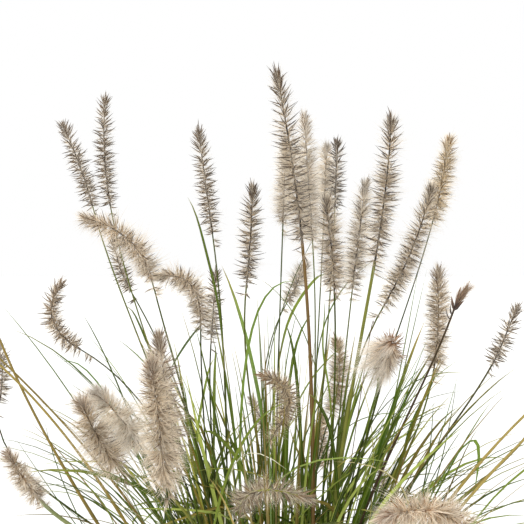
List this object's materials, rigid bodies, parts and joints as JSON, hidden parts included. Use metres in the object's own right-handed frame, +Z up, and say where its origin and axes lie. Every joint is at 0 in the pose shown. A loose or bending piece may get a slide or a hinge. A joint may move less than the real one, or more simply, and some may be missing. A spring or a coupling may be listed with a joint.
{
  "type": "potted fountain grass",
  "caption": "Ornamental fountain grass in a round nursery pot: arching green blades, dry straw and bristly tan flower spikes on thin stalks.",
  "frame": {"origin": "middle of the flat underside of the pot", "axes": "+Z up along the pot's axis, +X to the right and +Y away from the viewer of the reference view"},
  "size_m": [0.6662, 0.6962, 0.8262],
  "materials": {
    "pot": "moulded charcoal plastic, faint satin",
    "soil": "dark crumbly potting soil",
    "green": "fine ribbed living grass, green to yellow green",
    "straw": "dry ribbed straw",
    "spike": "dry tan spikelets and pale bristles"
  },
  "bodies": {
    "root": {"pot": "pot", "soil": "soil", "tuft_01": "green", "tuft_02": "green", "tuft_03": "green", "tuft_04": "green", "tuft_05": "green", "tuft_06": "green", "tuft_07": "green", "tuft_08": "green", "tuft_09": "green", "tuft_10": "green", "tuft_11": "green", "tuft_middle": "green", "straw_1": "straw", "straw_2": "straw", "straw_3": "straw", "straw_4": "straw", "spike_01": "spike", "spike_02": "spike", "spike_03": "spike", "spike_04": "spike", "spike_05": "spike", "spike_06": "spike", "spike_07": "spike", "spike_08": "spike", "spike_09": "spike", "spike_10": "spike", "spike_11": "spike", "spike_12": "spike", "spike_13": "spike", "spike_14": "spike", "spike_15": "spike", "spike_16": "spike", "spike_17": "spike", "spike_18": "spike", "spike_19": "spike", "spike_20": "spike", "spike_21": "spike", "spike_22": "spike", "spike_23": "spike", "spike_24": "spike", "spike_25": "spike", "spike_26": "spike", "spike_27": "spike", "spike_28": "spike", "spike_29": "spike", "spike_30": "spike", "spike_31": "spike", "spike_32": "spike", "spike_33": "spike", "spike_34": "spike", "spike_35": "spike", "spike_36": "spike", "spike_37": "spike", "spike_38": "spike", "spike_39": "spike"}
  },
  "joints": []
}
